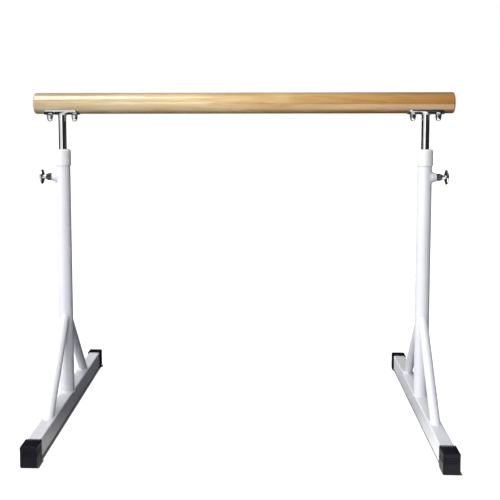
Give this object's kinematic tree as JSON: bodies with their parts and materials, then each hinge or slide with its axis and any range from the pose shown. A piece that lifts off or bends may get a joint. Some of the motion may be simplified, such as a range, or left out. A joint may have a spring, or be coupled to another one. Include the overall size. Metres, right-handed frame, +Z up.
{
  "type": "freestanding practice barre",
  "caption": "Round wooden rail on two T-shaped steel stands with braced posts, chromed telescoping masts, spring pull pins for height and rubber end caps.",
  "frame": {"origin": "on the floor, midway between the two stands and midway along their feet", "axes": "+X along the rail towards the right stand, +Y towards the rear, +Z up; the front is at -Y"},
  "size_m": [1, 0.7, 0.78],
  "materials": {
    "wood": "clear satin varnish",
    "chrome_plate": "bright chrome plating",
    "chrome_mast": "bright chrome plating",
    "chrome_nut": "bright chrome plating",
    "zinc": "zinc plated",
    "guide_plastic": "moulded nylon",
    "collar_plastic": "moulded white plastic",
    "white_paint": "white powder coat",
    "pin_chrome": "bright chrome plating",
    "dark_steel": "blackened turned steel",
    "pin_steel": "turned steel",
    "spring_steel": "drawn spring wire",
    "rubber": "moulded black rubber"
  },
  "bodies": {
    "stand_frame": {"left_post": "white_paint", "left_collar": "collar_plastic", "left_foot_tube": "white_paint", "left_front_brace": "white_paint", "left_rear_brace": "white_paint", "left_front_cap": "rubber", "left_rear_cap": "rubber", "left_pin_boss": "white_paint", "left_pin_barrel": "dark_steel", "left_pin_retainer": "pin_steel", "left_pin_spring": "spring_steel", "right_post": "white_paint", "right_collar": "collar_plastic", "right_foot_tube": "white_paint", "right_front_brace": "white_paint", "right_rear_brace": "white_paint", "right_front_cap": "rubber", "right_rear_cap": "rubber", "right_pin_boss": "white_paint", "right_pin_barrel": "dark_steel", "right_pin_retainer": "pin_steel", "right_pin_spring": "spring_steel"},
    "rail_carriage": {"rail": "wood", "left_saddle": "chrome_plate", "left_hanger_bolts": "zinc", "left_washers": "zinc", "left_acorn_nuts": "chrome_nut", "left_mast": "chrome_mast", "left_mast_guide": "guide_plastic", "right_saddle": "chrome_plate", "right_hanger_bolts": "zinc", "right_washers": "zinc", "right_acorn_nuts": "chrome_nut", "right_mast": "chrome_mast", "right_mast_guide": "guide_plastic"},
    "left_pin": {"left_pull_pin": "pin_steel", "left_pin_knob": "pin_chrome"},
    "right_pin": {"right_pull_pin": "pin_steel", "right_pin_knob": "pin_chrome"}
  },
  "joints": [
    {"name": "height_slide", "type": "slide", "parent": "stand_frame", "child": "rail_carriage", "axis": [0, 0, 1], "range_m": [-0.05, 0.25]},
    {"name": "left_pin_pull", "type": "slide", "parent": "stand_frame", "child": "left_pin", "axis": [-1, 0, 0], "range_m": [0, 0.008], "stiffness_N_per_m": 1200, "springref_m": -0.005, "deforming": ["left_pin_spring"]},
    {"name": "right_pin_pull", "type": "slide", "parent": "stand_frame", "child": "right_pin", "axis": [1, 0, 0], "range_m": [0, 0.008], "stiffness_N_per_m": 1200, "springref_m": -0.005, "deforming": ["right_pin_spring"]}
  ]
}
